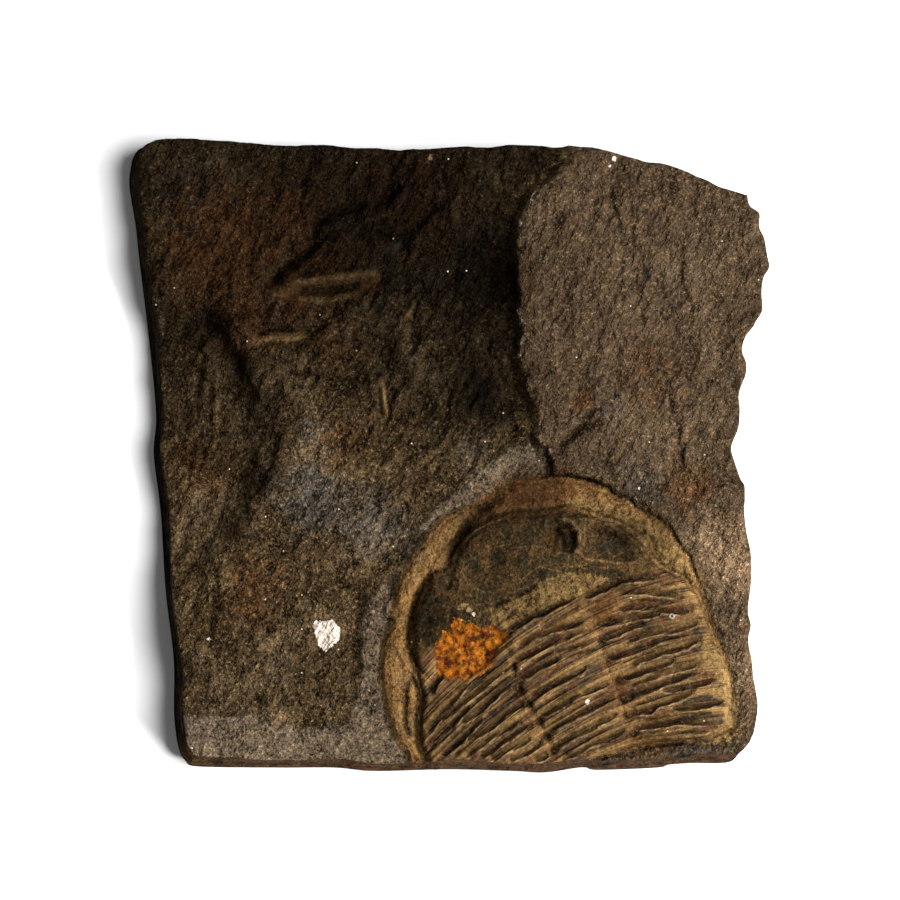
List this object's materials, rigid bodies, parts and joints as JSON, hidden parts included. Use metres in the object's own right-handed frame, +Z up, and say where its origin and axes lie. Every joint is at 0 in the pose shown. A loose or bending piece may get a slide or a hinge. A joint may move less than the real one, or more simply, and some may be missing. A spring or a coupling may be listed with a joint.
{
  "type": "trilobite fossil slab",
  "caption": "Loose slab of dark layered shale with a large trilobite in low relief at one corner, lying flat on its underside.",
  "frame": {"origin": "middle of the flat underside, below the middle of the slab's box", "axes": "+Z up out of the fossil face, +X to the right and +Y to the far edge as the fossil face is looked at with the trilobite at the near right"},
  "size_m": [0.1124, 0.1116, 0.0133],
  "materials": {
    "shale": "dull, grainy brown-black shale, ochre where the fossil lies"
  },
  "bodies": {
    "root": {"fossil_slab": "shale"}
  },
  "joints": []
}
